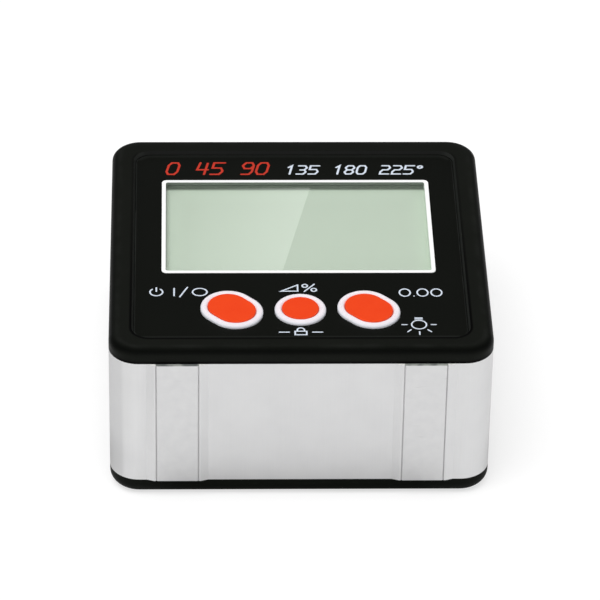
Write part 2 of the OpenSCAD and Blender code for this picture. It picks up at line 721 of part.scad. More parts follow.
// Rear cover: floor, spigot, bosses, ribs and the battery bay over the door's opening
module rear_cover() {
    bay_end = max(bay_len / 2 + bay_wall, pocket_w / 2 + spigot_wall / 2);
    open_w = door_w + 2 * door_gap;
    open_d = 2 * (door_half_d + door_gap);
    latch_open_y = latch_far_y - latch_leg / 2 - latch_room;
    color([0.1, 0.1, 0.1]) {
        difference() {
            union() {
                difference() {
                    swept_block(body_w, body_d, corner_r, 0, rear_h)
                        edge_profile(corner_r, 0, rear_h, rear_fillet, 0);
                    rounded_plate(pocket_w, pocket_d, 1.5, floor_t, rear_h + cut);
                    rounded_plate(open_w, open_d, door_r + door_gap, -cut, floor_t + cut);
                }
                wall_ring(spigot_w, spigot_d, inner_r, spigot_wall, bay_low_z + door_t,
                    rear_h + spigot_reach);
                for (p = boss_spots) upright(p, boss_r, rear_fillet, boss_meet);
                box(-bay_end, bay_end, -bay_out_d, bay_out_d, bay_low_z, bay_roof_z + roof_t);
                for (x = rib_spots, sx = [-1, 1])
                    box(sx * x - rib_t / 2, sx * x + rib_t / 2, -pocket_d / 2 - seat,
                        pocket_d / 2 + seat, bay_low_z, rib_high_z);
            }
            box(-bay_len / 2, bay_len / 2, -bay_half_d, bay_half_d, -cut, bay_roof_z);
            // Room for the latch, and a scoop for a finger beside it
            box(-latch_w / 2 - door_gap, latch_w / 2 + door_gap, latch_open_y, 0, -cut,
                bay_low_z);
            box(-latch_w / 2 - door_gap, latch_w / 2 + door_gap, latch_open_y,
                -bay_out_d, -cut, floor_t + cut);
            translate([0, latch_open_y - 1.2, -2.2]) rotate([0, 90, 0])
                cylinder(r = 3.2, h = latch_w + 2 * door_gap, center = true);
            // Notches in the bay's wall where the hinge hooks swing
            for (s = [-1, 1])
                box(s * hook_x - hook_w / 2 - door_gap, s * hook_x + hook_w / 2 + door_gap,
                    0, bay_out_d + cut, 0, door_top_z + 1.8);
            for (p = boss_spots) {
                upright(p, screw_r + 0.2, -cut, boss_meet + cut);
                upright(p, screw_head_r + 0.2, -cut, floor_t);
            }
            for (s = [-1, 1])
                box(-bay_len / 2 - 0.1, -bay_len / 2 + contact_t + 0.1,
                    s * cell_y - tab_w / 2 - 0.1, s * cell_y + tab_w / 2 + 0.1,
                    bay_roof_z - cut, bay_roof_z + roof_t + cut);
        }
        // Rib between the two cells
        translate([-contact_x + 2, 0, 0]) rotate([90, 0, 90]) linear_extrude(2 * contact_x - 4)
            polygon([[-cell_y * 0.4, bay_roof_z + seat], [cell_y * 0.4, bay_roof_z + seat],
                [0, cell_z + cell_r * 0.35]]);
    }
}

// Battery door: plate, two hooks that reach over the cover's floor, and a sprung latch
module battery_door() {
    hook_root_y = bay_out_d + 0.15;
    hook_end_y = door_half_d + 1.8;
    hook_low_z = floor_t + 0.1;
    hook_high_z = door_top_z + 1.2;
    near_y = latch_far_y + 2 * latch_turn_r;
    color([0.1, 0.1, 0.1]) {
        difference() {
            union() {
                rounded_plate(door_w, 2 * door_half_d, door_r, door_sunk, door_top_z);
                box(-latch_w / 2, latch_w / 2, latch_far_y + latch_leg / 2 + 0.8, 0,
                    door_sunk, door_top_z);
            }
            // Grip grooves in the outer face
            for (i = [0:4])
                box(-latch_w / 2, latch_w / 2, -door_half_d + 2.5 + 1.6 * i,
                    -door_half_d + 3.3 + 1.6 * i, door_sunk - cut, door_sunk + 0.4);
        }
        for (s = [-1, 1]) translate([s * hook_x - hook_w / 2, 0, 0]) rotate([90, 0, 90])
            linear_extrude(hook_w) polygon([[hook_root_y, door_top_z - seat],
                [door_half_d, door_top_z - seat], [door_half_d, hook_low_z],
                [hook_end_y, hook_low_z], [hook_end_y, hook_high_z - 0.4],
                [hook_end_y - 0.4, hook_high_z], [hook_root_y, hook_high_z]]);
        translate([-latch_w / 2, 0, 0]) rotate([90, 0, 90]) linear_extrude(latch_w) {
            translate([near_y - latch_leg / 2, door_top_z - seat])
                square([latch_leg, latch_high_z - door_top_z + seat]);
            translate([latch_far_y - latch_leg / 2, latch_low_z])
                square([latch_leg, latch_high_z - latch_low_z]);
            intersection() {
                translate([latch_far_y + latch_turn_r, latch_high_z]) difference() {
                    circle(latch_turn_r + latch_leg / 2);
                    circle(latch_turn_r - latch_leg / 2);
                }
                translate([latch_far_y - latch_leg, latch_high_z])
                    square([4 * latch_turn_r, 2 * latch_turn_r]);
            }
            translate([latch_far_y - latch_leg / 2, floor_t + 0.1])
                polygon([[0, 0], [-latch_room - latch_bite, 0],
                    [-latch_room - latch_bite, 0.3], [0, 1.1]]);
        }
    }
}

// An AAA cell that starts at x0 with its flat end and points its nub along dir
module cell(x0, y, dir) {
    nub_len = 0.9;
    nub_r = 1.9;
    translate([x0, y, cell_z]) rotate([0, 90 * dir, 0]) rotate_extrude() {
        translate([0, 0.3]) square([cell_r, cell_len - nub_len - 0.6]);
        square([cell_r - 0.3, cell_len - nub_len]);
        square([nub_r, cell_len]);
    }
}

module battery_front() {
    color([0.25, 0.3, 0.35]) cell(-contact_x + spring_len, -cell_y, 1);
}
module battery_rear() {
    color([0.25, 0.3, 0.35]) cell(contact_x - spring_len, cell_y, -1);
}

// Conical battery spring: a round wire whose centre line climbs along +Z while its
// radius shrinks, with a square-cut end at the contact plate and at the cell
spring_base_r = 3.4;
spring_tip_r = 1.9;
spring_steps = 14;  // rings per turn
spring_sides = 6;
function spring_count() = round(spring_turns * spring_steps);
function spring_centre(i) = let (t = i / spring_count(), a = 360 * spring_turns * t,
        r = spring_base_r + (spring_tip_r - spring_base_r) * t,
        lift = spring_wire / 2 + seat)
    [r * cos(a), r * sin(a), lift + (spring_len - 2 * lift) * t];
function spring_ring(i) = let (c = spring_centre(i),
        a = 360 * spring_turns * i / spring_count(), u = [cos(a), sin(a), 0])
    [for (k = [0:spring_sides - 1]) let (b = 360 * k / spring_sides)
        c + spring_wire / 2 * (cos(b) * u + sin(b) * [0, 0, 1])];
spring_gap = min([for (i = [0:spring_count() - spring_steps])
    norm(spring_centre(i + spring_steps) - spring_centre(i))]) - spring_wire;
echo(spring_least_gap = spring_gap);

module spring_wire_body() {
    n = spring_count();
    s = spring_sides;
    points = [for (i = [0:n]) each spring_ring(i)];
    sides = [for (i = [0:n - 1], k = [0:s - 1]) let (a = i * s + k, b = i * s + (k + 1) % s)
        each [[a, a + s, b], [b, a + s, b + s]]];
    caps = [for (k = [1:s - 2]) each [[0, k, k + 1], [n * s, n * s + k + 1, n * s + k]]];
    polyhedron(points, concat(sides, caps));
}

module battery_spring_left() {
    color([0.8, 0.8, 0.8]) translate([-contact_x, -cell_y, cell_z])
        rotate([0, 90, 0]) spring_wire_body();
}
module battery_spring_right() {
    color([0.8, 0.8, 0.8]) translate([contact_x, cell_y, cell_z])
        rotate([0, -90, 0]) spring_wire_body();
}

// Contact plate against the bay's -X wall, with a tab up through the roof to the board
tab_w = 2.5;
module terminal(y) {
    color([0.85, 0.82, 0.7]) {
        box(-bay_len / 2, -contact_x, y - contact_half, y + contact_half,
            contact_low_z, contact_high_z);
        box(-bay_len / 2, -contact_x, y - tab_w / 2, y + tab_w / 2, contact_low_z,
            board_z - 0.1);
    }
}

module minus_terminal() { terminal(-cell_y); }
module plus_terminal() { terminal(cell_y); }

// Plate against the bay's +X wall that joins the two cells in series
module battery_link() {
    color([0.85, 0.82, 0.7])
        box(contact_x, bay_len / 2, -cell_y - contact_half, cell_y + contact_half,
            contact_low_z, contact_high_z);
}

case_head_t = 1.5;
module case_screws() {
    color([0.2, 0.2, 0.2]) for (p = boss_spots) translate([p[0], p[1], floor_t])
        pan_screw(screw_r, screw_head_r, case_head_t, screw_len);
}

front_bezel();
overlay_panel();
window_frame();
window_lens();
front_polariser();
lcd_upper_glass();
lcd_lower_glass();
rear_polariser();
backlight_guide();
backlight_leds();
lcd_holder();
contact_strip();
main_board();
board_screws();
tilt_sensor();
controller_chip();
clock_crystal();
board_capacitors();
power_switch();
hold_switch();
zero_switch();
power_plunger();
hold_plunger();
zero_plunger();
power_key_rim();
hold_key_rim();
zero_key_rim();
power_key_pad();
hold_key_pad();
zero_key_pad();
tube_body();
magnet_strip_left();
magnet_strip_right();
rear_cover();
battery_door();
battery_front();
battery_rear();
battery_spring_left();
battery_spring_right();
minus_terminal();
plus_terminal();
battery_link();
case_screws();
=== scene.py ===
"""A digital inclinometer box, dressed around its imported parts. Metres, with the display looking
along +Z and the measuring face with its two magnet strips along -Y."""

import math

import bmesh
import bpy
import numpy as np
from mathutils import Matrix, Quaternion, Vector


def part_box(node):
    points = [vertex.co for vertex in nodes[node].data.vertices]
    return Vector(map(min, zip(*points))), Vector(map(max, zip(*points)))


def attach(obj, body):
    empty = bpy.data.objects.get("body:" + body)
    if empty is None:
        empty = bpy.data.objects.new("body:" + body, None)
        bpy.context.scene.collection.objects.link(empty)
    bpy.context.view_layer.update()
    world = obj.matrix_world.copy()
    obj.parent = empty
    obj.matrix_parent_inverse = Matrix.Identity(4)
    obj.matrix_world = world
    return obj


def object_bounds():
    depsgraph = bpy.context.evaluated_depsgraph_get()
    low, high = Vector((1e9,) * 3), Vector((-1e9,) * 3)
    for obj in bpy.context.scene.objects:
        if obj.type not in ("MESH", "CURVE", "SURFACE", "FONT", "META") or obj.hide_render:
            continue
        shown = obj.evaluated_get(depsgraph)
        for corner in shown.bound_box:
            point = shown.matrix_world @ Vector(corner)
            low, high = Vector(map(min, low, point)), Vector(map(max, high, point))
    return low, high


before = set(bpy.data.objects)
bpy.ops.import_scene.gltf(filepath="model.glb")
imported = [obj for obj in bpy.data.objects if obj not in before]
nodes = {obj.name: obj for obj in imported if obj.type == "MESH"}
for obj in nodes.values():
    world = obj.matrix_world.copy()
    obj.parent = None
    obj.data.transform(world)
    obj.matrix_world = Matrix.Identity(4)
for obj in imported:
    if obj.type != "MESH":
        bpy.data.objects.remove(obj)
cad_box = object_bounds()
mm = 0.001


# ---- The view -------------------------------------------------------------------------------
# The box lies on its rear cover and is seen from 35 degrees above, through a long lens that
# stands a little to the left of its middle.
camera_at = Vector((-18.65, -559.31, 411.34)) * mm
looks_at = Vector((0.66, 3.49, 13.97)) * mm
camera_roll = math.radians(1.03)
camera = bpy.data.objects.new("camera", bpy.data.cameras.new("camera"))
camera.data.sensor_width = 36
camera.data.lens = 253.9
camera.location = camera_at
camera.rotation_mode = "QUATERNION"
camera.rotation_quaternion = (looks_at - camera_at).to_track_quat("-Z", "Y") @ Quaternion(
    (0, 0, 1), camera_roll
)
bpy.context.scene.collection.objects.link(camera)
bpy.context.scene.camera = camera
bpy.context.scene.view_settings.view_transform = "Standard"


# ---- Table and light ------------------------------------------------------------------------
# A white studio table under a white sky, a soft lamp over the left corner, and a dark wall and
# ceiling that only reflections see. The table is clear from below and under the box, so that the
# battery door shows there. For reflections it carries painted shade, greyer along the box's foot
# and on the left.
class Wire:
    """A socket of a shader tree. Each operator used on it adds a Math node, and node() adds
    any other kind, so that a finish is written as sums."""

    def __init__(self, tree, socket):
        self.tree, self.socket = tree, socket

    def node(self, kind, inputs, out=0, **settings):
        """Adds a node: its settings first, then the value or link of each named input."""
        made = self.tree.nodes.new(kind)
        for name, value in settings.items():
            setattr(made, name, value)
        for key, value in inputs.items():
            if isinstance(value, Wire):
                self.tree.links.new(value.socket, made.inputs[key])
            else:
                made.inputs[key].default_value = value
        return Wire(self.tree, made.outputs[out])

    def maths(self, operation, first, second=0.0):
        return self.node("ShaderNodeMath", {0: first, 1: second}, operation=operation)

    def __add__(self, other):
        return self.maths("ADD", self, other)

    def __sub__(self, other):
        return self.maths("SUBTRACT", self, other)

    def __rsub__(self, other):
        return self.maths("SUBTRACT", other, self)

    def __mul__(self, other):
        return self.maths("MULTIPLY", self, other)

    def __mod__(self, other):
        return self.maths("FLOORED_MODULO", self, other)

    def __abs__(self):
        return self.maths("ABSOLUTE", self)

    __radd__, __rmul__ = __add__, __mul__

    def least(self, other):
        return self.maths("MINIMUM", self, other)

    def most(self, other):
        return self.maths("MAXIMUM", self, other)

    def root(self):
        return self.maths("SQRT", self)

    def ramp(self, start, end):
        """0 up to start and 1 from end on, smooth between them; start may be the larger."""
        return self.node(
            "ShaderNodeMapRange",
            {"Value": self, "From Min": start, "From Max": end},
            interpolation_type="SMOOTHSTEP",
        )

    def blend(self, low, high):
        """The colour low where this mask is 0, and the colour high where it is 1."""
        return self.node(
            "ShaderNodeMix", {0: self, 6: low, 7: high}, out=2, data_type="RGBA"
        )


def paint(red, green, blue):
    """The shader's colour for a finish that shows as these screen values, 0 to 255."""
    share = np.array([red, green, blue]) / 255
    linear = np.where(share <= 0.04045, share / 12.92, ((share + 0.055) / 1.055) ** 2.4)
    return (*linear.tolist(), 1.0)


def ray_kind(tree, *kinds):
    """1 for rays of these kinds, as the Light Path node tells them, and 0 for any other."""
    path = tree.nodes.new("ShaderNodeLightPath")
    found = Wire(tree, path.outputs[f"Is {kinds[0]} Ray"])
    for kind in kinds[1:]:
        found = found.most(Wire(tree, path.outputs[f"Is {kind} Ray"]))
    return found


def stage_wall(name, low, high):
    """A strip of faces between two lines of points that isn't part of the object, with a UV map
    that runs from 0 to 1 along the lines and up from the low one to the high one."""
    count = len(low) - 1
    start = np.arange(count)
    faces = np.stack([start, start + 1, start + count + 2, start + count + 1], axis=1)
    mesh = bpy.data.meshes.new(name)
    mesh.from_pydata([*low, *high], [], faces.tolist())
    along = np.array([start, start + 1, start + 1, start]).T / count
    up = np.broadcast_to([0, 0, 1, 1], along.shape)
    uv = np.stack([along, up], axis=-1).ravel()
    mesh.uv_layers.new(name="UVMap").uv.foreach_set("vector", uv)
    made = bpy.data.objects.new(name, mesh)
    bpy.context.scene.collection.objects.link(made)
    made.data.materials.append(bpy.data.materials.new(name))
    made.data.materials[0].use_nodes = True
    return made, made.data.materials[0].node_tree


sky_fill = 0.62  # the light of the sky above the table; the part below gives 1
world = bpy.data.worlds.new("studio")
world.use_nodes = True
bpy.context.scene.world = world
sky_tree = world.node_tree
sky = sky_tree.nodes["Background"]
sky.inputs["Color"].default_value = (1, 1, 1, 1)
seen = ray_kind(sky_tree, "Camera", "Glossy", "Transmission")
sky_way = Wire(sky_tree, sky_tree.nodes.new("ShaderNodeTexCoord").outputs["Generated"])
sky_low = sky_way.node("ShaderNodeSeparateXYZ", {0: sky_way}, out=2).ramp(-0.02, -0.1)
sky_light = seen.most(sky_low * (1 - sky_fill) + sky_fill)
sky_tree.links.new(sky_light.socket, sky.inputs["Strength"])

table_half = 4.0
table_z = -0.05 * mm  # clear of the rear cover's face, so that the two don't fight
_, paper = stage_wall(
    "table",
    *([(x * table_half, y * table_half, table_z) for x in (-1, 1)] for y in (-1, 1)),
)
paper_shader = paper.nodes["Principled BSDF"]
paper_shader.inputs["Roughness"].default_value = 0.9
paper_shader.inputs["Specular IOR Level"].default_value = 0.0
paper_shader.inputs["Emission Strength"].default_value = 1.0
paper_seen = ray_kind(paper, "Camera")
paper_at = Wire(paper, paper.nodes.new("ShaderNodeTexCoord").outputs["Object"])
paper_x, paper_y = (paper_at.node("ShaderNodeSeparateXYZ", {0: paper_at}, out=i) for i in (0, 1))
off_x, off_y = abs(paper_x), abs(paper_y)
off_most = off_x.most(off_y)
foot_half = 0.03  # half the box's width
side_width = 0.012  # how far out the painted shade reaches along the box's sides
# painted shade: reflections see the paper darker along the box's foot, less at its corners
foot_painted_shade = (
    off_most.ramp(foot_half + side_width, foot_half)
    * off_x.least(off_y).ramp(foot_half - 0.003, foot_half - side_width)
)
clear_half = 0.0278  # half the clear patch's width
corner_share = 0.515  # cuts the patch's corners, as the cover's are round
covered = off_most.most((off_x + off_y) * corner_share).ramp(clear_half, clear_half - 0.0001)
# painted shade: reflections see the paper a little greyer on the box's left
left_painted_shade = paper_x.ramp(-foot_half - 0.001, -foot_half - 0.006) * 0.13
# For each socket: the tone reflections see, how much darker the painted shade makes it beside
# the box, and the tone the camera sees.
paper_tones = (("Base Color", 0.9, 0.45, 0.42), ("Emission Color", 0.1, 0.1, 0.64))
for socket, own, shade, shown in paper_tones:
    mirrored_tone = (own - foot_painted_shade * shade) * (1 - left_painted_shade)
    tone = mirrored_tone + paper_seen * (shown - mirrored_tone)
    paper.links.new(tone.socket, paper_shader.inputs[socket])
from_below = Wire(paper, paper.nodes.new("ShaderNodeNewGeometry").outputs["Backfacing"])
paper_face = Wire(paper, paper_shader.outputs["BSDF"])
paper_clear = paper_at.node("ShaderNodeBsdfTransparent", {})
paper_surface = paper_at.node(
    "ShaderNodeMixShader", {0: from_below.most(covered), 1: paper_face, 2: paper_clear}
)
paper.links.new(paper_surface.socket, paper.nodes["Material Output"].inputs["Surface"])

lamp = bpy.data.objects.new("soft_lamp", bpy.data.lights.new("soft_lamp", "AREA"))
lamp.data.shape = "RECTANGLE"
lamp.data.size, lamp.data.size_y = 0.6, 0.5
lamp.data.energy = 4.2
lamp.location = (-0.18, -0.25, 0.85)
lamp.rotation_mode = "QUATERNION"
lamp.rotation_quaternion = (-lamp.location).to_track_quat("-Z", "Y")
lamp.visible_glossy = False
bpy.context.scene.collection.objects.link(lamp)

wall_far, wall_foot, wall_high = 0.9, 0.03, 1.5
wall_glow = 0.25  # how bright the dark wall looks in a reflection
wall_turn = np.radians(np.linspace(-20, 200, 56))  # from the right round the back to the left
wall_low, wall_top = (
    np.stack([wall_far * np.cos(wall_turn), wall_far * np.sin(wall_turn),
        np.full(wall_turn.shape, height)], axis=1).tolist()
    for height in (wall_foot, wall_high)
)
ceiling_glow, ceiling_half = 0.1, 1.6
ceiling = ([(x * ceiling_half, y * ceiling_half, wall_high) for x in (-1, 1)] for y in (-1, 1))
unseen_by = ("camera", "diffuse", "transmission", "shadow", "volume_scatter")
for wall_name, wall_edges, glow in (
    ("dark_wall", (wall_low, wall_top), wall_glow), ("dark_ceiling", ceiling, ceiling_glow)
):
    wall, wall_tree = stage_wall(wall_name, *wall_edges)
    wall_paint = wall_tree.nodes.new("ShaderNodeEmission")
    wall_paint.inputs["Strength"].default_value = glow
    wall_tree.links.new(wall_paint.outputs[0], wall_tree.nodes["Material Output"].inputs["Surface"])
    for sight in unseen_by:
        setattr(wall, f"visible_{sight}", False)


# ---- Front bezel ----------------------------------------------------------------------------
# The moulded frame over the tube. Black ABS from a finely spark-eroded mould. A blotchy lighter
# line along the outer edge's crest is partly wear and partly painted highlight, the outer fillet
# is painted darker as shade, and the seat's lip and the lower edge carry painted shadow lines.
# The seat's walls are a painted highlight, and the well round the display is painted grey as
# shade, pale on its right wall as a painted highlight.
class Finish:
    """A material with one Principled shader, and its piece's coordinates in millimetres."""

    def __init__(self, name):
        self.material = bpy.data.materials.new(name)
        self.material.use_nodes = True
        self.tree = self.material.node_tree
        self.shader = self.tree.nodes["Principled BSDF"]
        own = Wire(self.tree, self.tree.nodes.new("ShaderNodeTexCoord").outputs["Object"])
        self.place = own.node("ShaderNodeVectorMath", {0: own, "Scale": 1 / mm}, operation="SCALE")
        self.x, self.y, self.z = (
            own.node("ShaderNodeSeparateXYZ", {0: self.place}, out=i) for i in range(3)
        )

    def noise(self, size, detail=2.0, stretch=(1, 1, 1)):
        """Cloudy noise from 0 to 1 with spots of that size in mm, drawn out by stretch."""
        drawn = {0: self.place, "Scale": tuple(1 / s for s in stretch)}
        at = self.place.node("ShaderNodeMapping", drawn)
        inputs = {"Vector": at, "Scale": 1 / size, "Detail": detail}
        return at.node("ShaderNodeTexNoise", inputs)

    def specks(self, spacing, radius):
        """Round specks of that radius in mm, scattered at that spacing."""
        inputs = {"Vector": self.place, "Scale": 1 / spacing}
        away = self.place.node("ShaderNodeTexVoronoi", inputs)
        return away.ramp(radius / spacing, 0.5 * radius / spacing)

    def inward(self, half_x, half_y, radius, mid_y=0.0):
        """Distance in mm inside a rounded rectangle's outline: its corner radius minus the
        length of what |x| and |y| reach past the corner centres. True within that radius."""
        over_x = (abs(self.x) - (half_x - radius)).most(0)
        over_y = (abs(self.y - mid_y) - (half_y - radius)).most(0)
        return radius - (over_x * over_x + over_y * over_y).root()

    def relief(self, height, depth):
        """The normal of a surface on which a height from 0 to 1 stands that many mm proud."""
        return height.node("ShaderNodeBump", {"Height": height, "Distance": depth * mm})

    def set(self, sockets):
        """Sets or links the shader's own sockets by name."""
        for name, value in sockets.items():
            if isinstance(value, Wire):
                self.tree.links.new(value.socket, self.shader.inputs[name])
            else:
                self.shader.inputs[name].default_value = value
        return self

    def on(self, *names):
        """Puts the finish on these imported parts."""
        for name in names:
            for slot in nodes[name].material_slots:
                slot.material = self.material


def black_abs(name, grain, dull, deep, worn):
    """Black ABS: spark-eroded grain of that size in mm, clouds between two screen tones, and a
    few specks of dust."""
    skin = Finish(name)
    clouds = skin.noise(9, 3)
    fine = skin.noise(grain)
    dust = skin.specks(2.6, 0.06) * skin.noise(7).ramp(0.5, 0.7)
    colour = (clouds * 0.6 + fine * 0.4).blend(
        paint(deep, deep + 2, deep - 1), paint(worn, worn + 2, worn - 2)
    )
    skin.set({
        "Base Color": (dust * 0.5).blend(colour, paint(120, 118, 112)),
        "Roughness": dull + 0.14 * clouds,
        "Specular IOR Level": 0.05,
        "Normal": skin.relief(fine, 0.012),
    })
    return skin, colour


case_half = (cad_box[1].x - cad_box[0].x) / 2 / mm
case_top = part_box("front_bezel")[1].z / mm
case_corner, bezel_fillet = 4.7, 1.3
seat_half, seat_corner = 26.4, 2.75  # the panel's seat in the bezel
panel_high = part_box("overlay_panel")[1]
panel_half, panel_top = panel_high.x / mm, panel_high.z / mm
tube_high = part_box("tube_body")[1].z / mm
window_low, window_high = (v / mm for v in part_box("window_lens"))
bezel, bezel_colour = black_abs("bezel_abs", 0.2, 0.36, 12, 25)
from_side = bezel.inward(case_half, case_half, case_corner)
# painted highlight, partly wear: a blotchy lighter line along the outer edge's crest
crest_highlight_and_wear = abs(from_side - bezel_fillet).ramp(0.8, 0.1)
crest_highlight_and_wear = crest_highlight_and_wear * bezel.z.ramp(case_top - 0.6, case_top - 0.1)
crest_highlight_and_wear = crest_highlight_and_wear * bezel.noise(4, 3).ramp(0.35, 0.7) * 0.2
# painted shade: the outer fillet darker, the sides a little
painted_side_shade = from_side.ramp(bezel_fillet, 0.3) * (0.2 + from_side.ramp(0.0, 0.2) * 0.6)
skin = painted_side_shade.blend(crest_highlight_and_wear.blend(bezel_colour, paint(44, 45, 44)), paint(3, 4, 3))
past_seat = bezel.inward(seat_half, seat_half, seat_corner) * -1
# painted shadow: a dark line on the lip round the seat, widest on the near side, none far
lip_painted_shadow = past_seat.ramp(0.02, 0.06) * past_seat.ramp(0.5, 0.3)
lip_painted_shadow = lip_painted_shadow * bezel.z.ramp(case_top - 0.1, case_top - 0.04)
lip_painted_shadow = lip_painted_shadow * bezel.y.ramp(seat_half - 0.1, seat_half - 1.4)
lip_painted_shadow = lip_painted_shadow * (0.35 + bezel.y.ramp(20, -seat_half) * 0.65)
# painted shade: a dark line along the bezel's lower edge, where it meets the tube
low_edge_painted_shade = bezel.z.ramp(tube_high + 0.55, tube_high + 0.35) * from_side.ramp(0.1, 0.02)
# painted highlight: the seat's walls paler than the bezel, most on the left and right
seat_wall = past_seat.ramp(0.02, -0.02) * past_seat.ramp(-0.34, -0.3)
seat_wall = seat_wall * bezel.z.ramp(panel_top - 0.04, panel_top + 0.04)
seat_wall_highlight = abs(bezel.x).ramp(24, 26).blend(paint(30, 31, 30), paint(44, 46, 44))
edged = (seat_wall * 0.9).blend(lip_painted_shadow.most(low_edge_painted_shade).blend(skin, paint(0, 0, 0)), seat_wall_highlight)
# painted shade and highlight: the well's walls grey, its right wall pale
in_window = (
    abs(bezel.x).ramp(window_high.x + 0.4, window_high.x + 0.2)
    * bezel.y.ramp(window_low.y - 0.4, window_low.y - 0.2)
    * bezel.y.ramp(window_high.y + 0.4, window_high.y + 0.2)
    * bezel.z.ramp(window_high.z + 0.02, window_high.z - 0.02)
)
right_wall = window_high.x - 0.43  # the well's right wall starts here, and carries the painted highlight
well_side = bezel.x.ramp(right_wall - 0.01, right_wall + 0.01)
well_light_and_shade = well_side.blend(paint(120, 128, 119), paint(226, 236, 225))
bezel.set({"Base Color": in_window.blend(edged, well_light_and_shade)}).on("front_bezel")


# ---- Label panel ----------------------------------------------------------------------------
# A black film, printed on its back and glued into the bezel's sunk seat. Satin, with the fine
# orange-peel of its lacquer. A pale line along its edges is painted highlight, and a dark line
# beside the border's gap is painted shade.
film = Finish("label_film")
film_clouds = film.noise(14, 2)
film_peel = film.noise(0.5)
film_lint = film.specks(4.1, 0.05) * film.noise(9).ramp(0.55, 0.7)
film_colour = film_clouds.blend(paint(9, 11, 8), paint(14, 16, 12))
film_in = film.inward(panel_half, panel_half, seat_corner - 0.25)
# painted highlight: paler along the film's cut edge and its near and far edges
film_edge_highlight = film_in.ramp(0.24, 0.12) * (0.6 + film.noise(6).ramp(0.45, 0.6) * 0.4)
near_line = -25.5  # a painted highlight line along the near edge
near_edge_highlight = film.y.ramp(near_line + 0.3, near_line + 0.2)
near_edge_highlight = near_edge_highlight * film.y.ramp(near_line - 0.25, near_line - 0.15)
film_edge_highlight = film_edge_highlight.most(near_edge_highlight * 0.4)
film_edge_highlight = film_edge_highlight.most(film_in.ramp(1.2, 0.3) * film.y.ramp(24, 25) * 0.35)
ring_low, ring_high = (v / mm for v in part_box("window_frame"))
ring_mid = (ring_low + ring_high) / 2
ring_half = (ring_high - ring_low) / 2
round_ring = film.inward(ring_half.x, ring_half.y, 0.8, ring_mid.y) * -1
# painted shade: dark along the gap round the white border
ring_gap_shade = round_ring.ramp(0.26, 0.14)
film_shade = ring_gap_shade.blend(film_edge_highlight.blend(film_colour, paint(44, 46, 44)), paint(2, 2, 2))
film.set({
    "Base Color": (film_lint * 0.4).blend(film_shade, paint(110, 110, 106)),
    "Roughness": 0.3 + 0.1 * film_clouds,
    "Specular IOR Level": 0.06,
    "Normal": film.relief(film_peel, 0.003),
}).on("overlay_panel")


# ---- White border ---------------------------------------------------------------------------
# A thin moulded ring that holds the lens down. Its face is hot-stamped white; its sides are
# painted grey as shade, and pale on the right side as a painted highlight.
stamp = Finish("border_white")
stamp_face = stamp.z.ramp(ring_high.z - 0.07, ring_high.z - 0.02)
stamp_white = stamp.noise(3, 3).blend(paint(252, 252, 252), paint(255, 255, 255))
# painted shade and highlight: the ring's sides grey, the right side pale
stamp_right = stamp.x.ramp(right_wall - 0.01, right_wall + 0.01)
stamp_side_light_and_shade = stamp_right.blend(paint(118, 126, 118), paint(226, 236, 225))
stamp.set({
    "Base Color": stamp_face.blend(stamp_side_light_and_shade, stamp_white),
    "Roughness": 0.42 + 0.1 * stamp.noise(0.4),
    "Specular IOR Level": 0.3,
    "Normal": stamp.relief(stamp.noise(0.3), 0.002),
}).on("window_frame")


# ---- Window lens ----------------------------------------------------------------------------
# A clear acrylic plate, flame-polished at its edges and held under the border. A studio card
# behind the box mirrors in it as one broad soft streak with a sharp right edge.
lens = Finish("lens_acrylic")
lens.set({
    "Base Color": paint(252, 254, 252),
    "Roughness": 0.0,
    "IOR": 1.49,
    "Transmission Weight": 1.0,
})
clear = lens.place.node("ShaderNodeBsdfTransparent", {"Color": paint(252, 254, 252)})
lit_through = ray_kind(lens.tree, "Shadow", "Diffuse")
solid = Wire(lens.tree, lens.shader.outputs["BSDF"])
lens_surface = clear.node("ShaderNodeMixShader", {0: lit_through, 1: solid, 2: clear})
lens.tree.links.new(lens_surface.socket, lens.tree.nodes["Material Output"].inputs["Surface"])
lens.on("window_lens")

lens_z = window_high.z
glare_edge = Vector((4.44, 26.5, lens_z)), Vector((-4.4, -15.5, lens_z))  # its right edge
glare_width = 18.5
card_far = 420.0
card_strength = 1.4
mirrored = Vector((camera_at.x, camera_at.y, 2 * lens_z * mm - camera_at.z)) / mm
card_sides = [
    [tuple((point + (point - mirrored).normalized() * card_far) * mm)
        for point in (edge - Vector((glare_width, 0, 0)), edge)]
    for edge in reversed(glare_edge)
]
card, card_tree = stage_wall("studio_card", *card_sides)
card_uv = Wire(card_tree, card_tree.nodes.new("ShaderNodeUVMap").outputs["UV"])
across = card_uv.node("ShaderNodeSeparateXYZ", {0: card_uv})
card_glow = across.node("ShaderNodeEmission", {"Color": across, "Strength": card_strength})
card_clear = across.node("ShaderNodeBsdfTransparent", {})
card_surface = across.node("ShaderNodeAddShader", {0: card_glow, 1: card_clear})
card_out = card_tree.nodes["Material Output"].inputs["Surface"]
card_tree.links.new(card_surface.socket, card_out)
for sight in unseen_by:
    setattr(card, f"visible_{sight}", False)


# ---- Display --------------------------------------------------------------------------------
# A reflective liquid-crystal glass, switched off: a grey-green polariser film in front, two glass
# plates, and a silvered film behind. The film carries painted light, paler towards the window's
# edges against the well's shade, and painted shadow of the well's walls as a dark line along its
# left and far edges.
panel_film = Finish("polariser")
film_cells = panel_film.noise(0.12) * 0.5 + panel_film.noise(11, 1) * 0.5
film_pale = film_cells.blend(paint(189, 201, 186), paint(194, 206, 191))
pane_x, pane_y = window_high.x - 0.4, window_high.y - 0.4  # the window's right and far edges
painted_edge_light = abs(panel_film.x).ramp(pane_x - 3.5, pane_x)  # painted light: the film is paler there, against the well's shade
painted_edge_light = painted_edge_light.most(panel_film.y.ramp(pane_y - 5, pane_y))
film_pale = painted_edge_light.blend(film_pale, paint(200, 213, 197))
